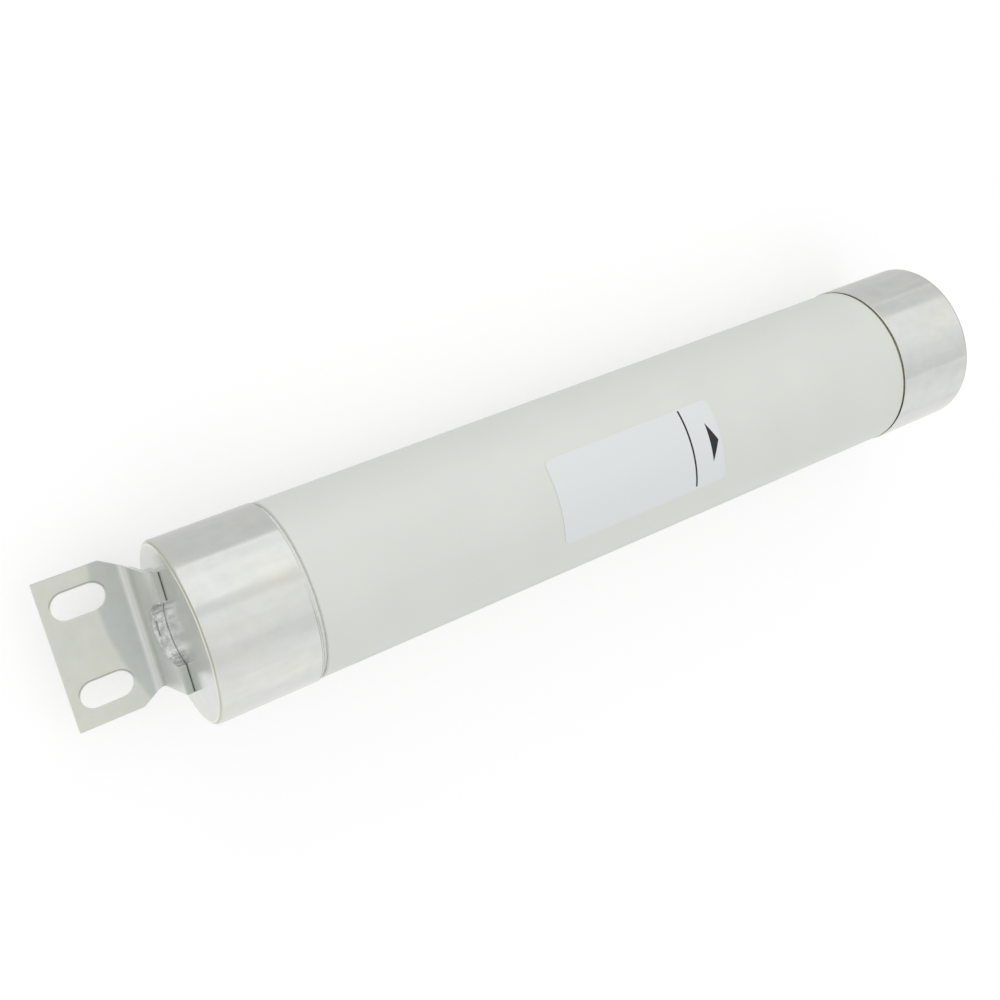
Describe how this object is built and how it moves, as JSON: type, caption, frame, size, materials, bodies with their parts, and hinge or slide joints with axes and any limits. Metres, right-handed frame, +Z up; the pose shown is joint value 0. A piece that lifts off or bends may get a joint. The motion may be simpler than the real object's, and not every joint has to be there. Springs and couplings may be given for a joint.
{
  "type": "high-voltage fuse link",
  "caption": "Tubular high-voltage fuse link: glazed ceramic barrel, tinned end caps, a folded fixing tag with slots and a sprung striker pin.",
  "frame": {"origin": "under the middle of the whole link, on the surface that its two caps lie on", "axes": "+Y along the fuse from the fixing tag to the striker end, +Z up and square to the tag's blade"},
  "size_m": [0.0762, 0.439, 0.0762],
  "materials": {
    "glazed_barrel": "gloss",
    "tinned_cap": "satin",
    "tinned_tag": "satin",
    "label_paper": "satin",
    "inner_cap_brass": "satin",
    "gasket_rubber": "matte",
    "core_ceramic": "matte",
    "contact_copper": "satin",
    "quartz_sand": "matte",
    "sleeve_board": "matte",
    "striker_steel": "satin",
    "element_silver": "satin"
  },
  "bodies": {
    "fuse_body": {"barrel": "glazed_barrel", "tag_end_cap": "tinned_cap", "striker_end_cap": "tinned_cap", "fixing_tag": "tinned_tag", "label": "label_paper", "tag_end_inner_cap": "inner_cap_brass", "striker_end_inner_cap": "inner_cap_brass", "tag_end_gasket": "gasket_rubber", "striker_end_gasket": "gasket_rubber", "filling_plug": "gasket_rubber", "element_core": "core_ceramic", "tag_end_contact_disc": "contact_copper", "striker_end_contact_disc": "contact_copper", "core_end_bush": "core_ceramic", "sand_filler": "quartz_sand", "trigger_wire": "striker_steel", "striker_sleeve": "sleeve_board", "striker_housing": "inner_cap_brass", "striker_guide_bush": "inner_cap_brass", "striker_spring_seat": "inner_cap_brass", "striker_spring": "striker_steel", "fuse_element_1": "element_silver", "fuse_element_2": "element_silver", "fuse_element_3": "element_silver"},
    "striker": {"striker_pin": "striker_steel"}
  },
  "joints": [
    {"name": "striker_slide", "type": "slide", "parent": "fuse_body", "child": "striker", "axis": [0, 1, 0], "range_m": [0, 0.02], "deforming": ["striker_spring"]}
  ]
}
